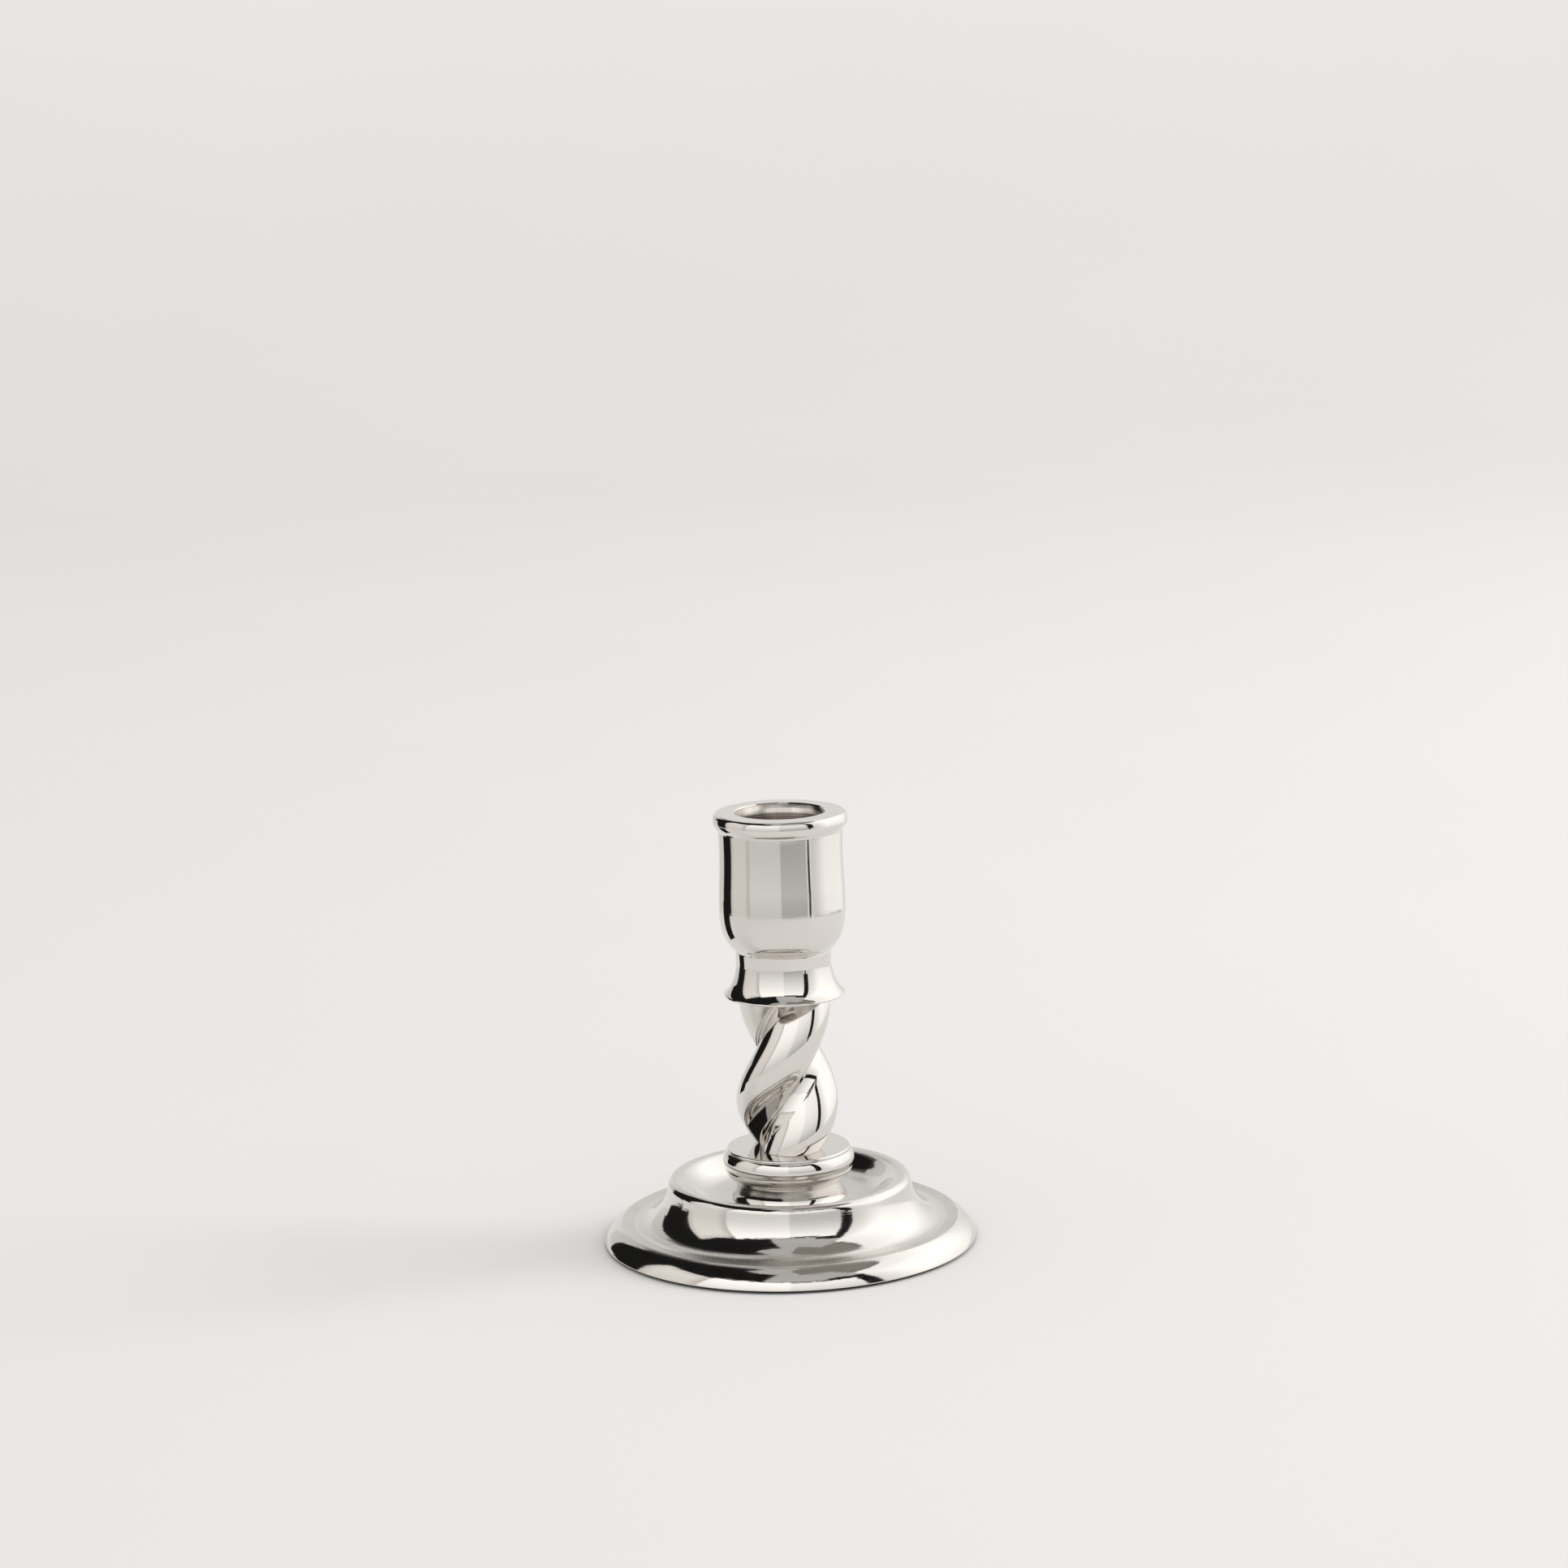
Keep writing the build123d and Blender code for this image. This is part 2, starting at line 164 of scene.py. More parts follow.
def arc(a, mid, b, step=STEP):
    """Circular run from a to b through mid."""
    (ax, ay), (bx, by), (cx, cy) = a, mid, b
    d = 2 * (ax * (by - cy) + bx * (cy - ay) + cx * (ay - by))
    sa, sb, sc = ax * ax + ay * ay, bx * bx + by * by, cx * cx + cy * cy
    ox = (sa * (by - cy) + sb * (cy - ay) + sc * (ay - by)) / d
    oy = (sa * (cx - bx) + sb * (ax - cx) + sc * (bx - ax)) / d
    r = hypot(ax - ox, ay - oy)
    start, end = atan2(ay - oy, ax - ox), atan2(cy - oy, cx - ox)
    turn = (end - start) % (2 * pi)
    if (atan2(by - oy, bx - ox) - start) % (2 * pi) > turn:
        turn -= 2 * pi
    count = max(4, ceil(abs(turn) * r / step))
    side = 1 if turn > 0 else -1
    run = []
    for k in range(count + 1):
        angle = start + turn * k / count
        run.append((ox + r * cos(angle), oy + r * sin(angle), (-side * sin(angle), side * cos(angle))))
    return run


def spline(points, start_way, end_way, step=STEP):
    """Smooth curve through the points with given end directions, even curvature between them."""
    count = len(points)
    knots = [0.0]
    for a, b in zip(points, points[1:]):
        knots.append(knots[-1] + hypot(b[0] - a[0], b[1] - a[1]))

    def unit(way):
        length = hypot(*way)
        return (way[0] / length, way[1] / length)

    slopes = [[0.0, 0.0] for _ in points]
    slopes[0], slopes[-1] = list(unit(start_way)), list(unit(end_way))
    # C2 clamped cubic: tridiagonal system solved by forward elimination
    for axis in (0, 1):
        upper, rhs = [0.0] * count, [0.0] * count
        rhs[0] = slopes[0][axis]
        for k in range(1, count - 1):
            h0, h1 = knots[k] - knots[k - 1], knots[k + 1] - knots[k]
            d0 = (points[k][axis] - points[k - 1][axis]) / h0
            d1 = (points[k + 1][axis] - points[k][axis]) / h1
            a, b, c = h1, 2 * (h0 + h1), h0
            r = 3 * (h1 * d0 + h0 * d1)
            pivot = b - a * upper[k - 1]
            upper[k] = c / pivot
            rhs[k] = (r - a * rhs[k - 1]) / pivot
        for k in range(count - 2, 0, -1):
            slopes[k][axis] = rhs[k] - upper[k] * slopes[k + 1][axis]
    run = []
    for k in range(count - 1):
        h = knots[k + 1] - knots[k]
        steps = max(2, ceil(h / step))
        for s in range(steps + (k == count - 2)):
            t = s / steps
            place, way = [], []
            for axis in (0, 1):
                p0, p1 = points[k][axis], points[k + 1][axis]
                m0, m1 = slopes[k][axis] * h, slopes[k + 1][axis] * h
                place.append(
                    (2 * t**3 - 3 * t**2 + 1) * p0
                    + (t**3 - 2 * t**2 + t) * m0
                    + (3 * t**2 - 2 * t**3) * p1
                    + (t**3 - t**2) * m1
                )
                way.append(
                    (6 * t**2 - 6 * t) * (p0 - p1) + (3 * t**2 - 4 * t + 1) * m0 + (3 * t**2 - 2 * t) * m1
                )
            run.append((place[0], place[1], unit(way)))
    return run


def polyline(*points):
    """Straight runs through the points, one after the other."""
    return [line(a, b) for a, b in zip(points, points[1:])]


def trimmed(run, corner, reach):
    """The part of a run farther than reach from a corner at its end."""
    return [p for p in run if hypot(p[0] - corner[0], p[1] - corner[1]) > reach]


def outline(runs, closed=True, round_off=0.12):
    """Joins runs end to end and rounds every corner between them by a small radius."""
    joints = [(k, (k + 1) % len(runs)) for k in range(len(runs) if closed else len(runs) - 1)]
    fillets = {}
    for k, after in joints:
        ends, starts = runs[k][-1], runs[after][0]
        corner, way_in, way_out = ends[:2], ends[2], starts[2]
        cross = way_in[0] * way_out[1] - way_in[1] * way_out[0]
        dot = way_in[0] * way_out[0] + way_in[1] * way_out[1]
        bend = atan2(cross, dot)
        if abs(bend) < radians(SMOOTH_JOINT):
            fillets[k] = []
            continue
        shortest = min(
            hypot(run[0][0] - run[-1][0], run[0][1] - run[-1][1]) for run in (runs[k], runs[after])
        )
        reach = min(round_off * tan(abs(bend) / 2), FILLET_SHARE * shortest)
        r = reach / tan(abs(bend) / 2)
        side = 1 if bend > 0 else -1
        start = (corner[0] - way_in[0] * reach, corner[1] - way_in[1] * reach)
        centre = (start[0] - way_in[1] * r * side, start[1] + way_in[0] * r * side)
        steps = max(3, ceil(abs(degrees(bend)) / FILLET_STEP))
        fillet = []
        for s in range(steps + 1):
            turn = bend * s / steps
            way = (
                way_in[0] * cos(turn) - way_in[1] * sin(turn),
                way_in[0] * sin(turn) + way_in[1] * cos(turn),
            )
            fillet.append((centre[0] + way[1] * r * side, centre[1] - way[0] * r * side, way))
        fillets[k] = fillet
        runs[k] = trimmed(runs[k], corner, reach * FILLET_CLEAR) or runs[k][:1]
        runs[after] = trimmed(runs[after], corner, reach * FILLET_CLEAR) or runs[after][-1:]
    points = []
    for k, run in enumerate(runs):
        for p in run + fillets.get(k, []):
            if not points or hypot(p[0] - points[-1][0], p[1] - points[-1][1]) > SAME:
                points.append(p)
    if closed and hypot(points[0][0] - points[-1][0], points[0][1] - points[-1][1]) < SAME:
        points.pop()
    return points


# ------------------------------------------------------------------ mesh building
def add_object(name, data):
    """Puts a mesh, a light or a camera into the scene."""
    obj = bpy.data.objects.new(name, data)
    bpy.context.scene.collection.objects.link(obj)
    return obj


def new_mesh(name, verts, faces):
    mesh = bpy.data.meshes.new(name)
    mesh.from_pydata(verts, [], faces)
    return mesh


def directions(count):
    """Cosine and sine of evenly spaced angles, once round."""
    return [(cos(2 * pi * j / count), sin(2 * pi * j / count)) for j in range(count)]


def band(a, b, count, flip=False):
    """Quads between two rings of count points that start at points a and b."""
    quads = [(a + j, a + (j + 1) % count, b + (j + 1) % count, b + j) for j in range(count)]
    return [(p, s, r, q) for p, q, r, s in quads] if flip else quads


def add_mesh(name, rows, row_normals, closed, pole_low=None, pole_high=None):
    """Skins rows of points with quads. Every row is a closed ring of the same count."""
    count = len(rows[0])
    verts = [v for row in rows for v in row]
    normals = [n for row in row_normals for n in row]
    faces = []
    for i in range(len(rows) if closed else len(rows) - 1):
        faces += band(i * count, ((i + 1) % len(rows)) * count, count)
    for pole, row in ((pole_low, 0), (pole_high, len(rows) - 1)):
        if pole is None:
            continue
        centre = len(verts)
        verts.append(pole[0])
        normals.append(pole[1])
        base = row * count
        for j in range(count):
            ring = (base + j, base + (j + 1) % count)
            faces.append((centre, *(reversed(ring) if row == 0 else ring)))
    mesh = new_mesh(name, verts, faces)
    mesh.update()
    mesh.shade_smooth()
    mesh.normals_split_custom_set_from_vertices(normals)
    return add_object(name, mesh)


def shade_by_angle(piece, angle):
    """Shades smoothly but for edges sharper than the angle, in degrees."""
    piece.data.attributes.remove(piece.data.attributes["custom_normal"])
    piece.data.set_sharp_from_angle(angle=radians(angle))


def turned(name, points, closed=True, around=AROUND):
    """Revolves an outline about Z. Outlines run so that the metal is on their left."""
    rows, normals = [], []
    spokes = directions(around)
    poles = [None, None]
    if not closed:
        for k, p in ((0, points[0]), (1, points[-1])):
            poles[k] = ((0, 0, p[1] * MM), (0, 0, -p[2][0]))
        points = points[1:-1]
    for r, z, (way_r, way_z) in points:
        rows.append([(r * MM * c, r * MM * s, z * MM) for c, s in spokes])
        normals.append([(way_z * c, way_z * s, -way_r) for c, s in spokes])
    return add_mesh(name, rows, normals, closed, poles[0], poles[1])


def finish_piece(piece, node, material_slot, *materials):
    """Rides the piece on the one body, puts it in place of its CAD node and sets its materials."""
    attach(piece, "root")
    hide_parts(node)
    for material in materials:
        piece.data.materials.append(material)


# ------------------------------------------------------------------ materials
class Surface:
    """A material in the making. Patterns follow the object's own coordinates, in metres."""

    def __init__(self, name, metallic=0.0):
        self.material = bpy.data.materials.new(name)
        self.material.use_nodes = True
        self.nodes, self.links = self.material.node_tree.nodes, self.material.node_tree.links
        self.shader = self.nodes["Principled BSDF"]
        self.place = self.nodes.new("ShaderNodeTexCoord").outputs["Object"]
        self.set("Metallic", metallic)

    def fill(self, node, inputs):
        """Links the inputs that are given as sockets and sets the others."""
        for key, value in inputs.items():
            if isinstance(value, bpy.types.NodeSocket):
                self.links.new(value, node.inputs[key])
            else:
                node.inputs[key].default_value = value
        return node.outputs

    def add(self, kind, inputs):
        return self.fill(self.nodes.new(kind), inputs)

    def set(self, key, value):
        self.fill(self.shader, {key: value})

    def noise(self, scale, detail, roughness=0.5, distortion=0.0, where=None):
        """Cloudy pattern, with the scale in clouds per metre."""
        inputs = {"Scale": scale, "Detail": detail, "Roughness": roughness, "Distortion": distortion}
        inputs["Vector"] = self.place if where is None else where
        return self.add("ShaderNodeTexNoise", inputs)["Fac"]

    def stretched(self, scale):
        """The object's coordinates, each multiplied by its own number."""
        return self.add("ShaderNodeMapping", {"Vector": self.place, "Scale": scale})["Vector"]

    def split(self, vector):
        return self.add("ShaderNodeSeparateXYZ", {"Vector": vector})

    def math(self, operation, *values):
        node = self.nodes.new("ShaderNodeMath")
        node.operation = operation
        return self.fill(node, dict(enumerate(values)))["Value"]

    def spread(self, value, low_to, high_to, low_from=0.0, high_from=1.0, kind="LINEAR"):
        """Carries the values between low_from and high_from to low_to and high_to."""
        node = self.nodes.new("ShaderNodeMapRange")
        node.interpolation_type = kind
        inputs = {"Value": value, "From Min": low_from, "From Max": high_from}
        return self.fill(node, {**inputs, "To Min": low_to, "To Max": high_to})["Result"]

    def tones(self, value, low_from, low_tone, high_from, high_tone):
        """Colour that runs from one tone at low_from to another at high_from."""
        node = self.nodes.new("ShaderNodeValToRGB")
        ends = ((low_from, low_tone), (high_from, high_tone))
        for element, (place, tone) in zip(node.color_ramp.elements, ends):
            element.position = place
            element.color = (*tone, 1)
        return self.fill(node, {"Fac": value})["Color"]

    def bump(self, height, strength, distance):
        """Relief on the surface, with the distance in metres."""
        inputs = {"Height": height, "Strength": strength, "Distance": distance}
        self.set("Normal", self.add("ShaderNodeBump", inputs)["Normal"])


def shaded(tint, shares):
    """A colour with each channel multiplied by its own share."""
    return [t * share for t, share in zip(tint, shares)]


SILVER_TINT = (0.775, 0.748, 0.722)


def polished_silver(name, polish=0.04, haze=0.06, scratch=0.02, dulling=0.0):
    """Mirror plate: faint tarnish clouds, hairline scratches and a slightly uneven polish."""
    look = Surface(name, metallic=1.0)
    clouds = look.noise(70.0, 4.0, 0.55)
    tarnish = shaded(SILVER_TINT, (0.965, 0.96, 0.945))
    look.set("Base Color", look.tones(clouds, 0.30, tarnish, 0.72, SILVER_TINT))
    smudge = look.noise(160.0, 6.0, 0.7, 0.6)
    shine = look.spread(smudge, polish, polish + haze, 0.35, 0.75)
    # handling and dust have dulled the faces that look up
    facing = look.nodes.new("ShaderNodeNewGeometry").outputs["Normal"]
    dull = look.spread(look.split(facing)["Z"], 0.0, dulling, 0.80, 0.97, "SMOOTHSTEP")
    look.set("Roughness", look.math("ADD", shine, dull))
    hairlines = look.noise(900.0, 2.0, where=look.stretched((0.35, 0.35, 3.2)))
    look.bump(hairlines, scratch, 0.0002)
    return look.material


def turned_metal(name, tint, roughness, ring_pitch, depth, upright=1.0, stain_and_painted_band_tone=(0.82, 0.80, 0.77)):
    """Machined metal with concentric tool marks that follow the height and the radius."""
    look = Surface(name, metallic=1.0)
    place = look.split(look.place)
    flat = look.add("ShaderNodeCombineXYZ", {"X": place["X"], "Y": place["Y"]})["Vector"]
    reach = look.nodes.new("ShaderNodeVectorMath")
    reach.operation = "LENGTH"
    along = look.math("ADD", look.fill(reach, {0: flat})["Value"], place["Z"])
    lines = look.nodes.new("ShaderNodeTexNoise")
    lines.noise_dimensions = "1D"
    marks = {"W": along, "Scale": 1 / (ring_pitch * MM), "Detail": 3.0, "Roughness": 0.6}
    lines = look.fill(lines, marks)["Fac"]
    look.bump(lines, depth, 0.0002)
    # a small share of the height draws the pattern out into upright streaks; in the socket these dark
    # streaks are painted reflection bands, on the zinc faint stains
    stains_and_painted_bands = look.noise(120.0, 5.0, where=look.stretched((1.0, 1.0, upright)))
    look.set("Base Color", look.tones(stains_and_painted_bands, 0.40, shaded(tint, stain_and_painted_band_tone), 0.60, tint))
    look.set("Roughness", look.spread(lines, roughness * 0.75, roughness * 1.3))
    return look.material


def cast_metal(name, tint, roughness, grain, depth):
    """Plated but unpolished metal: a fine pebbled skin with duller patches."""
    look = Surface(name, metallic=1.0)
    look.bump(look.noise(1 / (grain * MM), 4.0, 0.65), depth, 0.0003)
    patches = look.noise(90.0, 5.0)
    dull = shaded(tint, (0.84, 0.82, 0.78))
    look.set("Base Color", look.tones(patches, 0.32, dull, 0.7, tint))
    look.set("Roughness", look.spread(patches, roughness * 0.8, roughness * 1.25))
    return look.material


def felt_cloth(name):
    """Dense wool felt: matted fibres, lint flecks and a soft sheen."""
    look = Surface(name)
    look.set("Sheen Weight", 0.35)
    look.set("Sheen Roughness", 0.6)
    fibres = look.noise(2600.0, 6.0, distortion=1.6)
    charcoal, lint = (0.018, 0.018, 0.020), (0.075, 0.075, 0.078)
    look.set("Base Color", look.tones(fibres, 0.35, charcoal, 0.78, lint))
    look.set("Roughness", look.spread(fibres, 0.85, 1.0))
    look.bump(fibres, 0.8, 0.0002)
    return look.material


silver = polished_silver("silver_polished")
silver_foot = polished_silver("silver_handled", polish=0.05, scratch=0.08, dulling=0.20)
silver_cast = cast_metal("silver_underside", (0.80, 0.785, 0.755), 0.34, 0.55, 0.35)
# near-black metal painted as the contact shadow along the foot's lower edge
silver_edge_painted_shade = cast_metal("silver_tarnished", (0.05, 0.046, 0.042), 0.45, 0.3, 0.2)
# painted reflection: the socket's dark upright streaks stand in for the bands that a bore reflects
silver_bored = turned_metal(
    "silver_turned", (0.86, 0.815, 0.77), 0.24, 0.4, 0.35, upright=0.08, stain_and_painted_band_tone=(0.50, 0.47, 0.44)
)
felt = felt_cloth("felt_charcoal")
zinc = turned_metal("zinc_plated_steel", (0.66, 0.665, 0.67), 0.30, 0.35, 0.25)
spring = cast_metal("spring_steel_dark", (0.34, 0.335, 0.33), 0.38, 0.3, 0.2)


# ------------------------------------------------------------------ foot
OTHER_FINISH, THIRD_FINISH = 1, 2  # places of a piece's second and third material


def build_foot():
    seat_under = SEAT_Z - SEAT_T
    seat_in = (SPIGOT_R + FIT, SEAT_Z)
    seat_out = (PEDESTAL_R + 1.0, SEAT_Z)
    crest = (CREST_R, CREST_Z)
    lean = radians(WALL_LEAN)
    roll = CREST_Z - CREST_ROUND
    midway = radians(50)
    crest_mid = (CREST_R + CREST_ROUND * cos(midway), roll + CREST_ROUND * sin(midway))
    wall_top = (CREST_R + CREST_ROUND * cos(lean), roll + CREST_ROUND * sin(lean))
    brim_out = (BRIM_OUT_R, BRIM_OUT_Z)
    edge_top = (FOOT_R, FOOT_EDGE_Z + 0.5)
    edge_low = (FOOT_R - EDGE, FOOT_EDGE_Z)
    wall_points = [wall_top, (32.2, 11.75), (35.05, 7.75), (39.0, 5.66), brim_out]
    outside = [
        line(seat_in, seat_out),
        spline([seat_out, (23.6, 13.7), crest], (1, 0), (1, 0)),
        arc(crest, crest_mid, wall_top, step=0.08),
        spline(wall_points, (sin(lean), -cos(lean)), (1, 0.12)),
        arc(brim_out, (46.3, 3.75), edge_top),
        *polyline(
            edge_top, (FOOT_R, FOOT_EDGE_Z + EDGE), edge_low, (FELT_RECESS_R, FOOT_EDGE_Z)
        ),
    ]
    hollow_out = (FELT_IN_R - 1.2, 3.0)
    hollow_in = (16.0, seat_under)
    inner_wall = [hollow_out, (33.6, 6.0), (29.8, 11.3), (28.2, 13.9), (25.0, 11.8), (21.0, 9.7), hollow_in]
    inside = [
        *polyline(
            (FELT_RECESS_R, FOOT_EDGE_Z),
            (FELT_RECESS_R, FELT_T),
            (FELT_IN_R - 0.4, FELT_T),
            hollow_out,
        ),
        spline(inner_wall, (-1, 0.12), (-1, 0), step=1.1),
        *polyline(hollow_in, (SPIGOT_R + FIT, seat_under), seat_in),
    ]
    points = outline(outside + inside)
    points.reverse()
    points = [(r, z, (-w[0], -w[1])) for r, z, w in points]
    piece = turned("foot_dish", points)
    finish_piece(piece, "foot", "silver_plate", silver_foot, silver_cast, silver_edge_painted_shade)
    painted_shadow_top = FOOT_EDGE_Z + EDGE - 0.01
    lip_r = FOOT_R - 0.5
    dish_floor = SEAT_Z - 0.2
    overhang = -0.2  # a normal that points farther down than this belongs to the underside
    for face in piece.data.polygons:
        centre = face.center / MM
        reach = hypot(centre.x, centre.y)
        inward = (face.normal.x * centre.x + face.normal.y * centre.y) < 0
        on_lip = reach > lip_r
        on_dish = reach < CREST_R and centre.z > dish_floor and face.normal.z > 0
        if (face.normal.z < overhang or inward) and not on_lip and not on_dish:
            face.material_index = OTHER_FINISH
        # painted shadow: the lowest band of the lip, where the edge hangs over the felt, is near-black
        # metal standing in for the dark contact line under the foot
        if on_lip and centre.z < painted_shadow_top:
            face.material_index = THIRD_FINISH


# ------------------------------------------------------------------ felt ring
def build_felt():
    """Cut felt: soft corners, slightly wavy edges and a wavy underside."""
    runs = polyline(
        (FELT_IN_R, 0.0), (FELT_OUT_R, 0.0), (FELT_OUT_R, FELT_T), (FELT_IN_R, FELT_T), (FELT_IN_R, 0.0)
    )
    piece = turned("felt_pad", outline(runs, round_off=0.3))
    edge_zone = 0.4
    ripples, ripple_depth = 900.0, 0.05  # per metre, mm
    waves, wave_depth = 420.0, 0.18
    underside = 0.4 * FELT_T * MM
    for vert in piece.data.vertices:
        reach = hypot(vert.co.x, vert.co.y)
        ripple = noise.noise(vert.co * ripples) * ripple_depth * MM
        inward = -abs(noise.noise(vert.co * waves)) * wave_depth * MM
        if reach / MM > FELT_OUT_R - edge_zone:
            vert.co.x += vert.co.x / reach * inward
            vert.co.y += vert.co.y / reach * inward
        if reach / MM < FELT_IN_R + edge_zone:
            vert.co.x -= vert.co.x / reach * inward
            vert.co.y -= vert.co.y / reach * inward
        if vert.co.z < underside:
            vert.co.z = max(0.0, vert.co.z + abs(ripple))
    finish_piece(piece, "felt_ring", "felt", felt)


# ------------------------------------------------------------------ pedestal and collar
def build_pedestal():
    spigot_low = SEAT_Z - SPIGOT_L
    socket_end = PEDESTAL_TOP - SPIGOT_L - GAP
    neck_low = (PEDESTAL_R, SEAT_Z + 0.4)
    neck_top = (PEDESTAL_R + 0.2, 17.2)
    flange_low = (PEDESTAL_R + 0.6, 17.35)
    flange_top = (16.4, PEDESTAL_TOP - 0.15)
    runs = [
        *polyline(
            (ROD_HOLE_R, spigot_low),
            (SPIGOT_R - EDGE, spigot_low),
            (SPIGOT_R, spigot_low + EDGE),
            (SPIGOT_R, SEAT_Z),
            (PEDESTAL_R, SEAT_Z),
            neck_low,
        ),
        arc(neck_low, (PEDESTAL_WAIST_R, 14.4), neck_top),
        line(neck_top, flange_low),
        arc(flange_low, (16.05, 18.1), flange_top),
        *polyline(
            flange_top,
            (PEDESTAL_FACE_R, PEDESTAL_TOP),
            (SPIGOT_R + FIT, PEDESTAL_TOP),
            (SPIGOT_R + FIT, socket_end),
            (ROD_HOLE_R, socket_end),
            (ROD_HOLE_R, spigot_low),
        ),
    ]
    piece = turned("pedestal_ring", outline(runs, round_off=0.1))
    finish_piece(piece, "pedestal", "silver_plate", silver)


def build_collar():
    spigot_low = PEDESTAL_TOP - SPIGOT_L
    socket_end = COLLAR_TOP - SPIGOT_L - GAP
    step_z = COLLAR_TOP - 0.8
    band_low = (16.45, PEDESTAL_TOP + 0.2)
    band_high = (COLLAR_FACE_R + 0.35, step_z - 0.05)
    step_in = (COLLAR_FACE_R + 0.05, step_z)
    bead_low = (COLLAR_FACE_R + 0.2, step_z + 0.1)
    bead_top = (COLLAR_FACE_R - 0.15, COLLAR_TOP)
    runs = [
        *polyline(
            (ROD_HOLE_R, spigot_low),
            (SPIGOT_R - EDGE, spigot_low),
            (SPIGOT_R, spigot_low + EDGE),
            (SPIGOT_R, PEDESTAL_TOP),
            (PEDESTAL_FACE_R, PEDESTAL_TOP),
            band_low,
        ),
        arc(band_low, (COLLAR_R, 21.3), band_high),
        *polyline(band_high, step_in, bead_low),
        arc(bead_low, (COLLAR_FACE_R + 0.2, COLLAR_TOP - 0.25), bead_top),
        *polyline(
            bead_top,
            (STEM_SPIGOT_R + FIT, COLLAR_TOP),
            (STEM_SPIGOT_R + FIT, socket_end),
            (ROD_HOLE_R, socket_end),
            (ROD_HOLE_R, spigot_low),
        ),
    ]
    piece = turned("collar_moulding", outline(runs, round_off=0.06))
    finish_piece(piece, "collar", "silver_plate", silver)


# ------------------------------------------------------------------ twisted stem
def stem_scale(height):
    """Fullness of the strands: 1 at the belly, easing to the two end values."""
    if height > BELLY_Z:
        reach = (height - BELLY_Z) / (STEM_TOP - BELLY_Z)
        return 1.0 - (1.0 - TOP_SCALE) * reach**1.5
    reach = (BELLY_Z - height) / (BELLY_Z - COLLAR_TOP)
    return 1.0 - (1.0 - FOOT_SCALE) * reach**3


def stem_angle(height):
    """Direction of the line through both strands, in radians from the X axis."""
    return radians(90.0 + (height - NARROW_Z) * 360.0 / TWIST_PITCH)


def half_section():
    """Arcs (centre x, centre y, radius, from, to) and the flank (start, end) of one strand.

    The strand's back is round. Its leading side turns sharply down into the groove, and the
    groove's other side is the long flat flank of the next strand.
    """
    lead, trail, flank = radians(LEAD_TURN), radians(TRAIL_TURN), radians(FLANK_TURN)
    lead_x = STRAND_OFFSET + (STRAND_R - LEAD_R) * cos(lead)
    lead_y = (STRAND_R - LEAD_R) * sin(lead)
    trail_x = STRAND_OFFSET + (STRAND_R - TRAIL_R) * cos(trail)
    trail_y = -(STRAND_R - TRAIL_R) * sin(trail)
    flank_end = (-trail_x - TRAIL_R * cos(flank), -trail_y + TRAIL_R * sin(flank))
    normal = (-cos(flank), sin(flank))
    along = (sin(flank), cos(flank))
    gap_x = flank_end[0] + normal[0] * GROOVE_R - lead_x
    gap_y = flank_end[1] + normal[1] * GROOVE_R - lead_y
    shift = gap_x * along[0] + gap_y * along[1]
    length = -shift - sqrt(shift**2 - gap_x**2 - gap_y**2 + (LEAD_R + GROOVE_R) ** 2)
    flank_start = (flank_end[0] + along[0] * length, flank_end[1] + along[1] * length)
    groove_x = flank_start[0] + normal[0] * GROOVE_R
    groove_y = flank_start[1] + normal[1] * GROOVE_R
    meet = atan2(groove_y - lead_y, groove_x - lead_x) % (2 * pi)
    arcs = [
        (trail_x, trail_y, TRAIL_R, -flank, -trail),
        (STRAND_OFFSET, 0.0, STRAND_R, -trail, lead),
        (lead_x, lead_y, LEAD_R, lead, meet),
        (groove_x, groove_y, GROOVE_R, meet - pi, -flank),
    ]
    return arcs, flank_start, flank_end


SECTION_ARCS, FLANK_START, FLANK_END = half_section()
FLANK_RUN = hypot(FLANK_END[0] - FLANK_START[0], FLANK_END[1] - FLANK_START[1])
HALF_RUN = sum(r * abs(end - start) for _, _, r, start, end in SECTION_ARCS) + FLANK_RUN


def section_point(turn):
    """Point on the unscaled section of two strands, at a share of the way round."""
    half, share = divmod((turn % 1.0) * 2.0, 1.0)
    flip = -1 if half else 1
    way = share * HALF_RUN
    for x, y, r, start, end in SECTION_ARCS:
        run = r * abs(end - start)
        if way <= run:
            angle = start + (end - start) * way / run
            return flip * (x + r * cos(angle)), flip * (y + r * sin(angle))
        way -= run
    part = way / FLANK_RUN
    x = FLANK_START[0] + (FLANK_END[0] - FLANK_START[0]) * part
    y = FLANK_START[1] + (FLANK_END[1] - FLANK_START[1]) * part
    return flip * x, flip * y


def stem_point(turn, height):
    """Point on the stem's twisted surface, in mm."""
    x, y = section_point(turn)
    full, angle = stem_scale(height), stem_angle(height)
    return Vector((
        full * (x * cos(angle) - y * sin(angle)),
        full * (x * sin(angle) + y * cos(angle)),
        height,
    ))


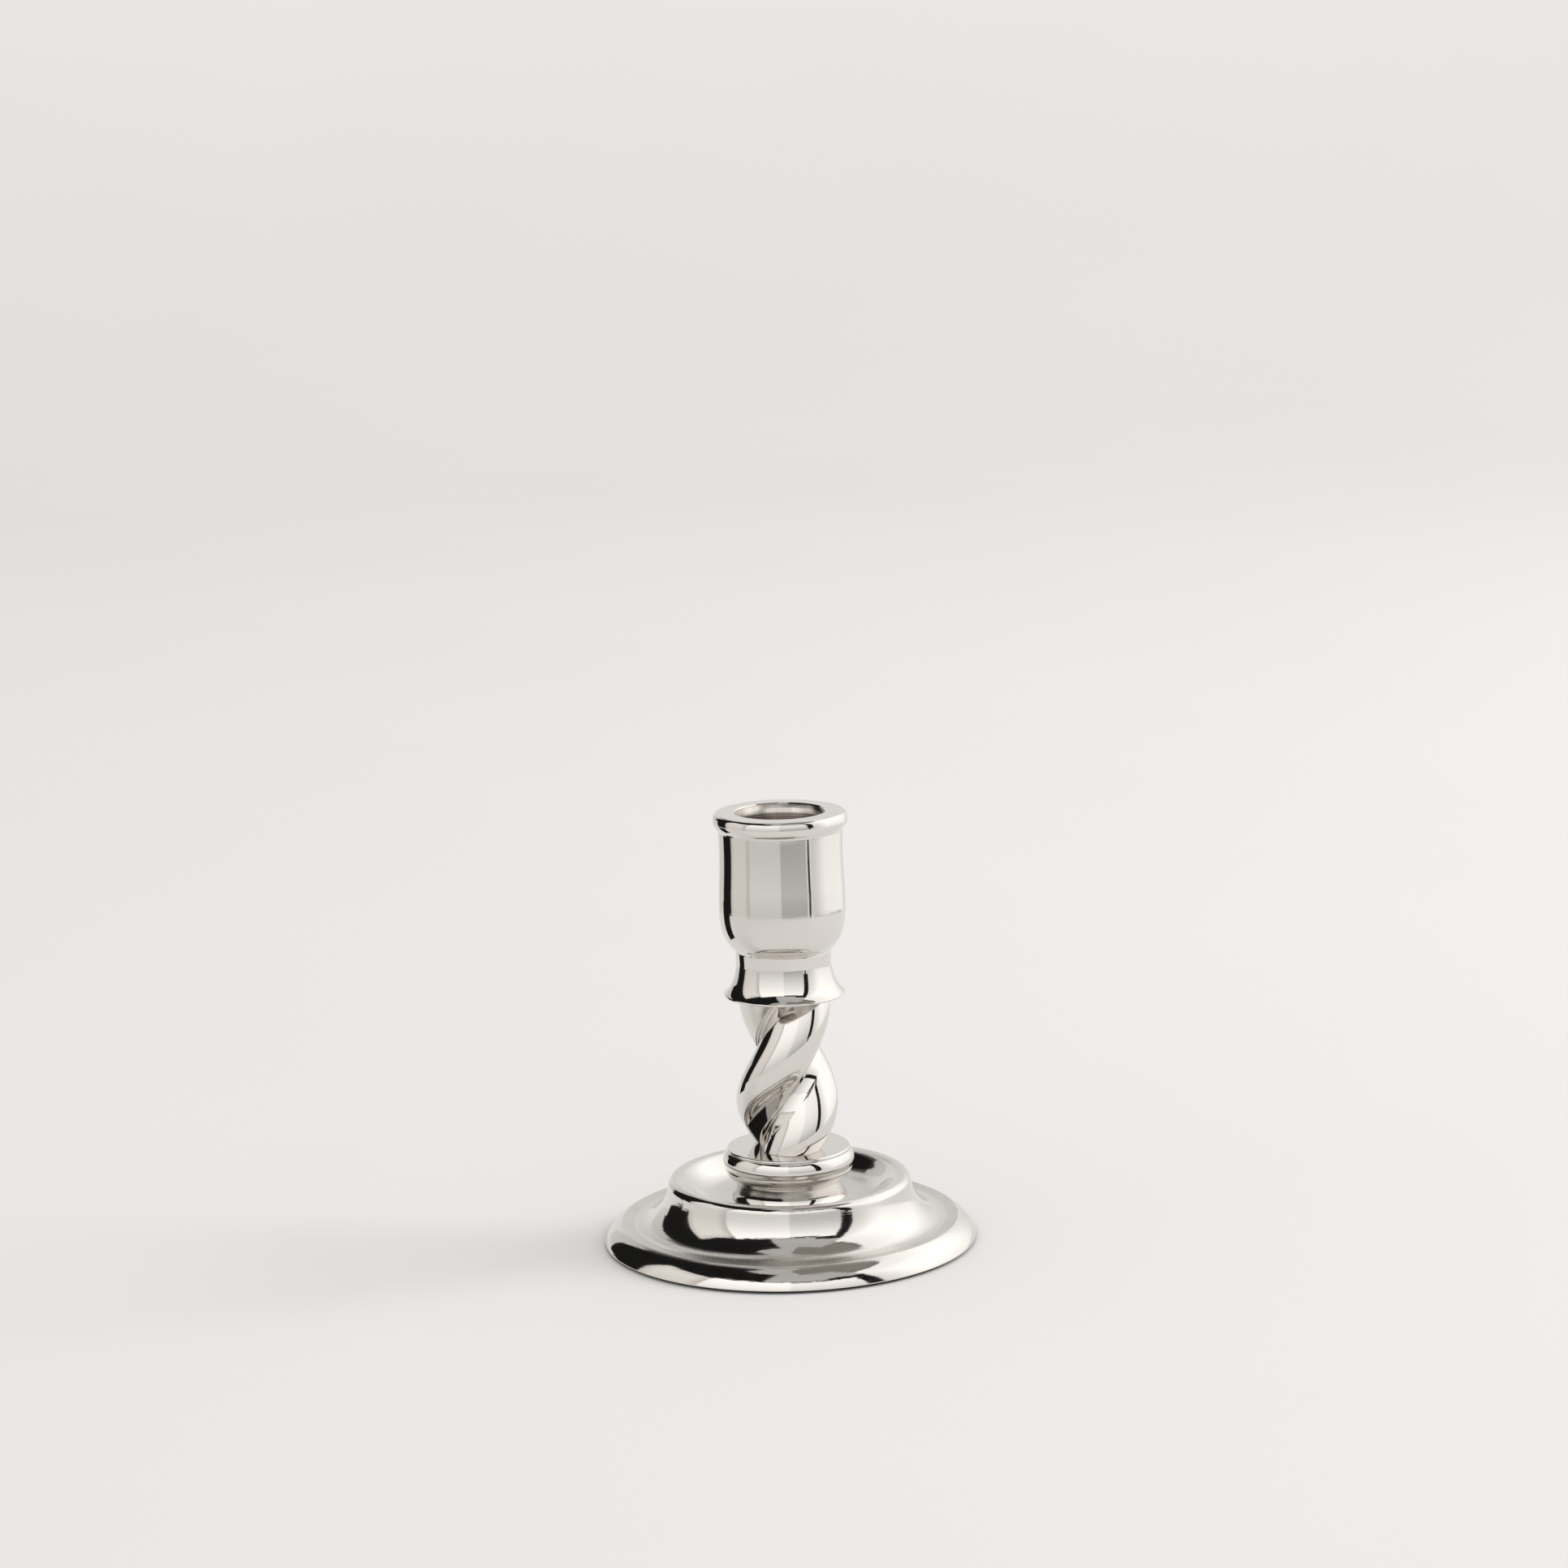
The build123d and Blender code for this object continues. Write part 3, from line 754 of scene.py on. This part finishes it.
def build_stem():
    around, levels = 420, 212
    small_turn, small_rise = 1e-3, 0.01  # steps that the surface's directions are measured over
    rows, normals = [], []

    def flat_row(r, z, normal):
        """A round ring in step with the sections, facing along normal (radial, up)."""
        row, facing = [], []
        for j in range(around):
            p = stem_point(j / around, COLLAR_TOP if z < BELLY_Z else STEM_TOP)
            reach = hypot(p.x, p.y)
            row.append((p.x / reach * r * MM, p.y / reach * r * MM, z * MM))
            facing.append((p.x / reach * normal[0], p.y / reach * normal[0], normal[1]))
        rows.append(row)
        normals.append(facing)

    def section_row(height, drop=0.0, facing=None):
        """The section at a height, drawn in by drop and facing as the surface does or as given."""
        row, ways = [], []
        for j in range(around):
            turn = j / around
            p = stem_point(turn, height)
            along = stem_point(turn + small_turn, height) - stem_point(turn - small_turn, height)
            rise = stem_point(turn, height + small_rise) - stem_point(turn, height - small_rise)
            normal = along.cross(rise).normalized()
            flat = Vector((normal.x, normal.y, 0)).normalized()
            p -= flat * drop
            row.append(tuple(p * MM))
            if facing is not None:
                normal = (flat * facing[0] + Vector((0, 0, facing[1]))).normalized()
            ways.append(tuple(normal))
        rows.append(row)
        normals.append(ways)

    bevel = 0.12
    mid_bevel = bevel * 0.4
    lip = bevel + 0.1
    root = STEM_SPIGOT_R + 0.02
    low_face, high_face = COLLAR_TOP, STEM_TOP
    low_end, high_end = low_face - SPIGOT_L, high_face + SPIGOT_L
    end_bevel = 0.05
    flat_row(ROD_HOLE_R, low_end, (-0.7, -0.7))
    flat_row(STEM_SPIGOT_R - EDGE, low_end, (0.4, -0.9))
    flat_row(STEM_SPIGOT_R, low_end + EDGE, (0.9, -0.4))
    flat_row(STEM_SPIGOT_R, low_face - 0.02, (1, 0))
    flat_row(root, low_face, (0, -1))
    section_row(low_face, drop=lip, facing=(0, -1))
    section_row(low_face, drop=bevel, facing=(0, -1))
    section_row(low_face + 0.03, drop=mid_bevel, facing=(0.6, -0.8))
    for k in range(levels + 1):
        section_row(low_face + bevel + (high_face - low_face - 2 * bevel) * k / levels)
    section_row(high_face - 0.03, drop=mid_bevel, facing=(0.6, 0.8))
    section_row(high_face, drop=bevel, facing=(0, 1))
    section_row(high_face, drop=lip, facing=(0, 1))
    flat_row(root, high_face, (0, 1))
    flat_row(STEM_SPIGOT_R, high_face + 0.02, (1, 0))
    flat_row(STEM_SPIGOT_R, high_end - end_bevel, (0.9, 0.4))
    flat_row(STEM_SPIGOT_R - end_bevel, high_end, (0.4, 0.9))
    flat_row(ROD_HOLE_R, high_end, (-0.7, 0.7))
    piece = add_mesh("stem_twist", rows, normals, True)
    finish_piece(piece, "twisted_stem", "silver_plate", silver)


# ------------------------------------------------------------------ skirt
def build_skirt():
    neck_low = (SKIRT_NECK_R, 73.6)
    lip_top = (SKIRT_LIP_R - 0.1, LIP_Z + 0.65)
    lip_low = (SKIRT_LIP_R - 0.45, LIP_Z)
    recess_rim = (SKIRT_LIP_R - 0.9, LIP_Z)
    cup_socket_end = CUP_BASE - SPIGOT_L - GAP
    stem_socket_end = STEM_TOP + SPIGOT_L + GAP
    runs = [
        arc((SKIRT_RECESS_R, STEM_TOP), (13.3, 66.5), recess_rim),
        line(recess_rim, lip_low),
        arc(lip_low, (SKIRT_LIP_R, LIP_Z + 0.28), lip_top),
        spline([lip_top, (12.75, 69.9), neck_low], (-1, 0.75), (0, 1)),
        *polyline(
            neck_low,
            (SKIRT_NECK_R + 0.1, CUP_BASE - 0.2),
            (SKIRT_NECK_R - 0.1, CUP_BASE),
            (CUP_SPIGOT_R + FIT, CUP_BASE),
            (CUP_SPIGOT_R + FIT, cup_socket_end),
            (ROD_HOLE_R, cup_socket_end),
            (ROD_HOLE_R, stem_socket_end),
            (STEM_SPIGOT_R + FIT, stem_socket_end),
            (STEM_SPIGOT_R + FIT, STEM_TOP),
            (SKIRT_RECESS_R, STEM_TOP),
        ),
    ]
    piece = turned("skirt_bell", outline(runs, round_off=0.08))
    finish_piece(piece, "skirt", "silver_plate", silver)


# ------------------------------------------------------------------ candle cup
def build_cup():
    socket_floor = TOTAL_HEIGHT - SOCKET_DEPTH
    spigot_low = CUP_BASE - SPIGOT_L
    cup_low = (CUP_BASE_R + 0.3, CUP_BASE + 0.7)
    cup_high = (CUP_R, RIM_UNDER_Z - 0.4)
    bowl_top = (16.05, 94.0)
    bowl = [cup_low, (14.95, 80.2), (16.0, 84.2), (CUP_BELLY_R, 88.3), bowl_top]
    rim_low = (CUP_R + 0.17, RIM_UNDER_Z)
    rim_shoulder = (17.0, 111.75)
    rim_high = (RIM_FACE_R, TOTAL_HEIGHT)
    runs = [
        *polyline(
            (0, TAP_HOLE_TOP),
            (ROD_R + FIT, TAP_HOLE_TOP - TAP_CONE),
            (ROD_R + FIT, spigot_low),
            (CUP_SPIGOT_R - EDGE, spigot_low),
            (CUP_SPIGOT_R, spigot_low + EDGE),
            (CUP_SPIGOT_R, CUP_BASE),
            (CUP_BASE_R - 0.2, CUP_BASE),
            (CUP_BASE_R, CUP_BASE + 0.25),
            cup_low,
        ),
        spline(bowl, (1, 0.85), (-0.06, 1)),
        arc(bowl_top, (CUP_WAIST_R, 101.0), cup_high),
        line(cup_high, rim_low),
        arc(rim_low, (RIM_R, 110.5), rim_shoulder),
        arc(rim_shoulder, (16.57, 112.29), rim_high, step=0.08),
        *polyline(
            rim_high,
            (SOCKET_R + SOCKET_BEVEL, TOTAL_HEIGHT),
            (SOCKET_R, TOTAL_HEIGHT - SOCKET_BEVEL),
            (SOCKET_R, socket_floor),
            (0, socket_floor),
        ),
    ]
    piece = turned("cup_socket", outline(runs, closed=False, round_off=0.08), closed=False)
    finish_piece(piece, "candle_cup", "silver_plate", silver, silver_bored)
    bored_r, tapped_r = SOCKET_R + 0.01, CUP_SPIGOT_R - 0.5
    bored_low = socket_floor - 0.5
    for face in piece.data.polygons:
        centre = face.center / MM
        if hypot(centre.x, centre.y) < (bored_r if centre.z > bored_low else tapped_r):
            face.material_index = OTHER_FINISH


# ------------------------------------------------------------------ tie rod and fasteners
def build_rod():
    """M6 rod with a rolled thread of 1 mm pitch and bevelled ends."""
    low_z, high_z = low("tie_rod"), top("tie_rod")
    around, per_mm, pitch, chamfer = 36, 8, 1.0, 0.6
    root_r, crest_r = ROD_R - 0.58, ROD_R - 0.02
    steep, sunk = 1.35, 0.1  # these cut the wave off to flat crests and roots
    spokes = directions(around)
    rows, normals = [], []
    count = round((high_z - low_z) * per_mm)
    for k in range(count + 1):
        z = low_z + (high_z - low_z) * k / count
        end_r = ROD_R - max(0.0, chamfer - min(z - low_z, high_z - z))
        row = []
        for j, (c, s) in enumerate(spokes):
            phase = (z / pitch - j / around) % 1.0
            wave = min(1.0, max(0.0, steep * (1 - abs(2 * phase - 1)) - sunk))
            r = min(end_r, root_r + (crest_r - root_r) * wave)
            row.append((r * MM * c, r * MM * s, z * MM))
        rows.append(row)
        normals.append([(c, s, 0) for c, s in spokes])
    poles = [((0, 0, z * MM), (0, 0, side)) for z, side in ((low_z, -1), (high_z, 1))]
    piece = add_mesh("rod_threaded", rows, normals, False, poles[0], poles[1])
    shade_by_angle(piece, 50)
    finish_piece(piece, "tie_rod", "zinc_steel", zinc)


def build_clamp_washer():
    low_z, high_z, r = low("clamp_washer"), top("clamp_washer"), radius("clamp_washer")
    runs = polyline(
        (ROD_HOLE_R, low_z),
        (r - EDGE, low_z),
        (r, low_z + EDGE),
        (r, high_z),
        (ROD_HOLE_R, high_z),
        (ROD_HOLE_R, low_z),
    )
    piece = turned("washer_clamp", outline(runs, round_off=0.15), around=192)
    finish_piece(piece, "clamp_washer", "zinc_steel", zinc)


def build_lock_washer():
    """Split spring washer: a rounded bar swept almost full circle, with a slanted gap."""
    low_z, high_z, outer = low("lock_washer"), top("lock_washer"), radius("lock_washer")
    inner = ROD_R + 0.1
    middle_z = (low_z + high_z) / 2
    bar = outline(
        polyline((inner, low_z), (outer, low_z), (outer, high_z), (inner, high_z), (inner, low_z)),
        round_off=0.2,
    )
    steps = 120
    gap, lean = 0.9, 0.5  # width of the gap in mm, its sideways run per mm of height
    verts, faces = [], []
    for k in range(steps + 1):
        for r, z, _ in bar:
            slant = (z - middle_z) * lean / r
            half_gap = gap / 2 / r
            angle = pi / 2 + half_gap - slant + (2 * pi - 2 * half_gap) * k / steps
            verts.append((r * MM * cos(angle), r * MM * sin(angle), z * MM))
    count = len(bar)
    for k in range(steps):
        faces += band(k * count, (k + 1) * count, count, flip=True)
    faces.append(tuple(range(count)))
    faces.append(tuple(reversed(range(steps * count, (steps + 1) * count))))
    mesh = new_mesh("washer_spring", verts, faces)
    mesh.update()
    mesh.shade_smooth()
    mesh.set_sharp_from_angle(angle=radians(35))
    finish_piece(add_object("washer_spring", mesh), "lock_washer", "spring_steel", spring)


def build_nut():
    """Thin hexagon nut, corners turned off at both faces, countersunk bore."""
    low_z, high_z = low("hex_nut"), top("hex_nut")
    flat_r, bore_r = NUT_FLATS / 2, ROD_R + FIT
    face_r = flat_r - 0.2
    sink = 0.35  # width and depth of the countersink
    fall = 0.5  # drop of the turned-off corners per mm of radius
    around, levels = 240, 8
    rows = []
    spokes = [2 * pi * j / around for j in range(around)]
    hexagon = [flat_r / cos((a + pi / 6) % (pi / 3) - pi / 6) for a in spokes]
    drops = [(r - face_r) * fall for r in hexagon]

    def ring(radii, heights):
        rows.append([
            (r * MM * cos(a), r * MM * sin(a), z * MM) for a, r, z in zip(spokes, radii, heights)
        ])

    def circle(r, z):
        ring([r] * around, [z] * around)

    circle(bore_r, low_z + sink)
    circle(bore_r + sink, low_z)
    circle(face_r, low_z)
    for k in range(levels):
        ring(hexagon, [low_z + drop + (high_z - low_z - 2 * drop) * k / levels for drop in drops])
    ring(hexagon, [high_z - drop for drop in drops])
    circle(face_r, high_z)
    circle(bore_r + sink, high_z)
    circle(bore_r, high_z - sink)
    normals = [[(0, 0, 1)] * around for _ in rows]
    piece = add_mesh("nut_hex", rows, normals, True)
    shade_by_angle(piece, 20)
    finish_piece(piece, "hex_nut", "zinc_steel", zinc)


build_foot()
build_felt()
build_pedestal()
build_collar()
build_stem()
build_skirt()
build_cup()
build_rod()
build_clamp_washer()
build_lock_washer()
build_nut()


# ------------------------------------------------------------------ studio
CENTRE_Z = 0.045  # height that directions are measured from, in metres
NEUTRAL = (1.0, 0.990, 0.975)
BROWN = (1.0, 0.93, 0.84)
WARM = (1.0, 0.965, 0.93)


def card_material(name, colour):
    """Plain glow whose strength is painted on the card's points."""
    material = bpy.data.materials.new(name)
    material.use_nodes = True
    nodes, links = material.node_tree.nodes, material.node_tree.links
    nodes.clear()
    out = nodes.new("ShaderNodeOutputMaterial")
    glow = nodes.new("ShaderNodeEmission")
    glow.inputs["Color"].default_value = (*colour, 1)
    painted = nodes.new("ShaderNodeAttribute")
    painted.attribute_name = "glow"
    links.new(painted.outputs["Fac"], glow.inputs["Strength"])
    links.new(glow.outputs["Emission"], out.inputs["Surface"])
    material.cycles.emission_sampling = "NONE"
    return material


def card(name, turn, rise, brightness, reach=1.1, colour=NEUTRAL, edge=None):
    """A curved card seen only in reflections: turn and rise are (from, to) in degrees.

    Turn 0 is toward the camera, at -Y, and 90 is toward +X. Brightness is one value or the
    values at the lower and upper edge. Edge is (width in degrees, share of the glow left at
    the rim), for every edge but the lower one.
    """
    cols, rows = 48, 24
    low_glow, high_glow = brightness if isinstance(brightness, tuple) else (brightness, brightness)
    verts, faces, glow = [], [], []
    for i in range(rows + 1):
        for j in range(cols + 1):
            turn_here = turn[0] + (turn[1] - turn[0]) * j / cols
            rise_here = rise[0] + (rise[1] - rise[0]) * i / rows
            a, e = radians(turn_here), radians(rise_here)
            verts.append((
                reach * cos(e) * sin(a),
                -reach * cos(e) * cos(a),
                CENTRE_Z + reach * sin(e),
            ))
            value = low_glow + (high_glow - low_glow) * i / rows
            if edge is not None:
                inside = min(turn_here - turn[0], turn[1] - turn_here, rise[1] - rise_here)
                share = min(1.0, inside / edge[0])
                value *= edge[1] + (1.0 - edge[1]) * share * share * (3 - 2 * share)
            glow.append(value)
    for i in range(rows):
        for j in range(cols):
            a = i * (cols + 1) + j
            faces.append((a, a + 1, a + cols + 2, a + cols + 1))
    mesh = new_mesh(name, verts, faces)
    mesh.attributes.new("glow", "FLOAT", "POINT").data.foreach_set("value", glow)
    obj = add_object(name, mesh)
    mesh.materials.append(card_material(name, colour))
    obj.visible_camera = False
    obj.visible_diffuse = False
    obj.visible_shadow = False
    obj.visible_transmission = False


BLACK = 0.012  # brightness of the dark gaps between the boards
LOW = -34  # the cards reach below the table, which ends close to the object
card("board_left", (-105, -62), (LOW, 44), (0.66, 0.98), 1.1, WARM, edge=(9, 0.78))
card("board_front_left", (-60, -1), (LOW, 47), (0.40, 1.42))
card("board_front_right", (-1, 47), (LOW, 45), (0.15, 1.27))
card("window", (58, 165), (LOW, 60), (0.88, 1.76), edge=(34, 0.66))
card("gap_left", (-131, -105), (LOW, 78), BLACK, 1.15)
card("gap_left_high", (-142, -129), (6, 78), BLACK, 1.15)
card("gap_left_near", (-129, -107), (-16.5, 6), BLACK, 0.158)
card("dark_above_left", (-131, -22), (43, 76), BLACK, 1.17)
card("gap_boards", (-62, -60), (LOW, 46), 0.62, 1.15, WARM)
card("gap_right", (47, 58), (-2, 52), BLACK, 1.15)
card("gap_right_low", (50, 54), (-12.5, -2), 0.04, 1.12)
card("beside_gap_right", (46, 59), (LOW, -2), 0.80, 1.15)
card("dark_knot", (28, 52), (45, 52), BLACK, 1.13)
card("dark_above_front", (-24, 58), (45, 48.5), 0.05, 1.15)
card("strip_above_front", (-24, 60), (47, 74), (0.56, 0.50), 1.2)
card("dark_above_window", (58, 150), (60, 63), 0.20, 1.15)
card("brown_above", (12, 168), (62, 90), (0.28, 0.24), 1.22, BROWN)
card("sweep_back", (165, 205), (LOW, 62), (0.88, 0.72), 1.2)
card("sweep_left", (205, 229), (LOW, 62), (0.80, 0.52), 1.2)
card("above_sweep", (165, 229), (61, 78), 0.52, 1.22)
card("dark_back_left", (-150, -139), (34, 54), 0.08, 1.16)
card("leaf_back_left", (-169, -161), (26, 33), 0.25, 1.16)
card("ceiling", (-180, 180), (70, 90), 0.52, 1.3)
card("table_edge", (60, 135), (-7.4, -6.5), 0.12, 0.40)


TABLE_R = 0.39  # the floor shows in reflections only out to here, in metres
FLOOR_SPOKES = 128


def round_sheet(name, profile, flip=False):
    """Surface that runs all round the object through rings of (radius, height), in metres."""
    verts, faces = [], []
    for r, z in profile:
        verts += [(r * c, r * s, z) for c, s in directions(FLOOR_SPOKES)]
    for i in range(len(profile) - 1):
        faces += band(i * FLOOR_SPOKES, (i + 1) * FLOOR_SPOKES, FLOOR_SPOKES, flip)
    return new_mesh(name, verts, faces)


def build_floor(name, near, far, rings):
    """Flat ring of pale floor between two radii, in metres."""
    profile = [(near + (far - near) * (i / rings) ** 2, 0) for i in range(rings + 1)]
    floor = add_object(name, round_sheet(name, profile, flip=True))
    return floor


def build_backdrop():
    """Smooth wall that rises all round from the floor, seen only by the camera."""
    start, bend, height, steps = 1.9, 1.4, 3.0, 24
    lift = 0.0005  # keeps the foot of the wall just clear of the floor
    profile = []
    for k in range(steps + 1):
        angle = pi / 2 * k / steps
        profile.append((start + bend * sin(angle), bend * (1 - cos(angle)) + lift))
    profile.append((start + bend, height))
    mesh = round_sheet("backdrop", profile)
    mesh.shade_smooth()
    wall = add_object("backdrop", mesh)
    wall.visible_diffuse = False
    wall.visible_glossy = False
    wall.visible_shadow = False
    wall.visible_transmission = False
    return wall


def paper_material():
    """Matt warm white paper, painted lighter as it rises behind the table to stand in for the light on the
    wall.
    """
    look = Surface("paper_sweep")
    look.set("Specular IOR Level", 0.1)
    look.set("Roughness", 0.9)
    tooth = look.tones(look.noise(3.0, 3.0), 0.3, (0.800, 0.795, 0.785), 0.7, (0.812, 0.807, 0.797))
    # painted light: the base colour is raised with height so the rising wall looks as brightly lit as the
    # table
    rise = look.spread(look.split(look.place)["Z"], 1.0, 1.12, 0.0, 0.7, "SMOOTHSTEP")
    painted_lighter = look.nodes.new("ShaderNodeVectorMath")
    painted_lighter.operation = "SCALE"
    look.set("Base Color", look.fill(painted_lighter, {0: tooth, "Scale": rise})["Vector"])
    return look.material


paper = paper_material()
table = build_floor("table", 0.0005, TABLE_R, 12)
table.data.materials.append(paper)
floor = build_floor("floor", TABLE_R, 4.0, 24)
floor.data.materials.append(paper)
floor.visible_glossy = False
build_backdrop().data.materials.append(paper)


def area_light(name, turn, rise, reach, size, power):
    """Soft light that aims at the object and doesn't show in reflections."""
    data = bpy.data.lights.new(name, "AREA")
    data.shape = "RECTANGLE"
    data.size, data.size_y = size
    data.energy = power
    data.color = NEUTRAL
    light = add_object(name, data)
    a, e = radians(turn), radians(rise)
    way = Vector((cos(e) * sin(a), -cos(e) * cos(a), sin(e)))
    light.location = way * reach + Vector((0, 0, CENTRE_Z))
    light.rotation_euler = way.to_track_quat("Z", "Y").to_euler()
    light.visible_glossy = False
    light.visible_camera = False


area_light("key_right", 97, 32, 2.7, (1.35, 1.35), 31.0)

world = bpy.data.worlds.new("studio")
bpy.context.scene.world = world
world.use_nodes = True
background = world.node_tree.nodes["Background"]
background.inputs["Color"].default_value = (1.0, 0.990, 0.978, 1)
background.inputs["Strength"].default_value = 0.84

# ------------------------------------------------------------------ camera
CAMERA_PLACE = (0.0013, -0.9619, 0.2942)  # metres
CAMERA_TILT = 79.7  # degrees up from straight down
CAMERA_ROLL = -1.5  # degrees about the line of sight
FOCAL_LENGTH = 88.5
SENSOR_WIDTH = 36.0

camera_data = bpy.data.cameras.new("camera")
camera_data.lens = FOCAL_LENGTH
camera_data.sensor_width = SENSOR_WIDTH
camera = add_object("camera", camera_data)
camera.matrix_world = (
    Matrix.Translation(CAMERA_PLACE)
    @ Matrix.Rotation(radians(CAMERA_TILT), 4, "X")
    @ Matrix.Rotation(radians(CAMERA_ROLL), 4, "Z")
)

scene = bpy.context.scene
scene.camera = camera
scene.view_settings.view_transform = "Standard"
scene.view_settings.look = "None"
scene.view_settings.exposure = 0.0
scene.view_settings.gamma = 1.0
scene.cycles.use_denoising = True
scene.cycles.max_bounces = 12
scene.cycles.glossy_bounces = 10
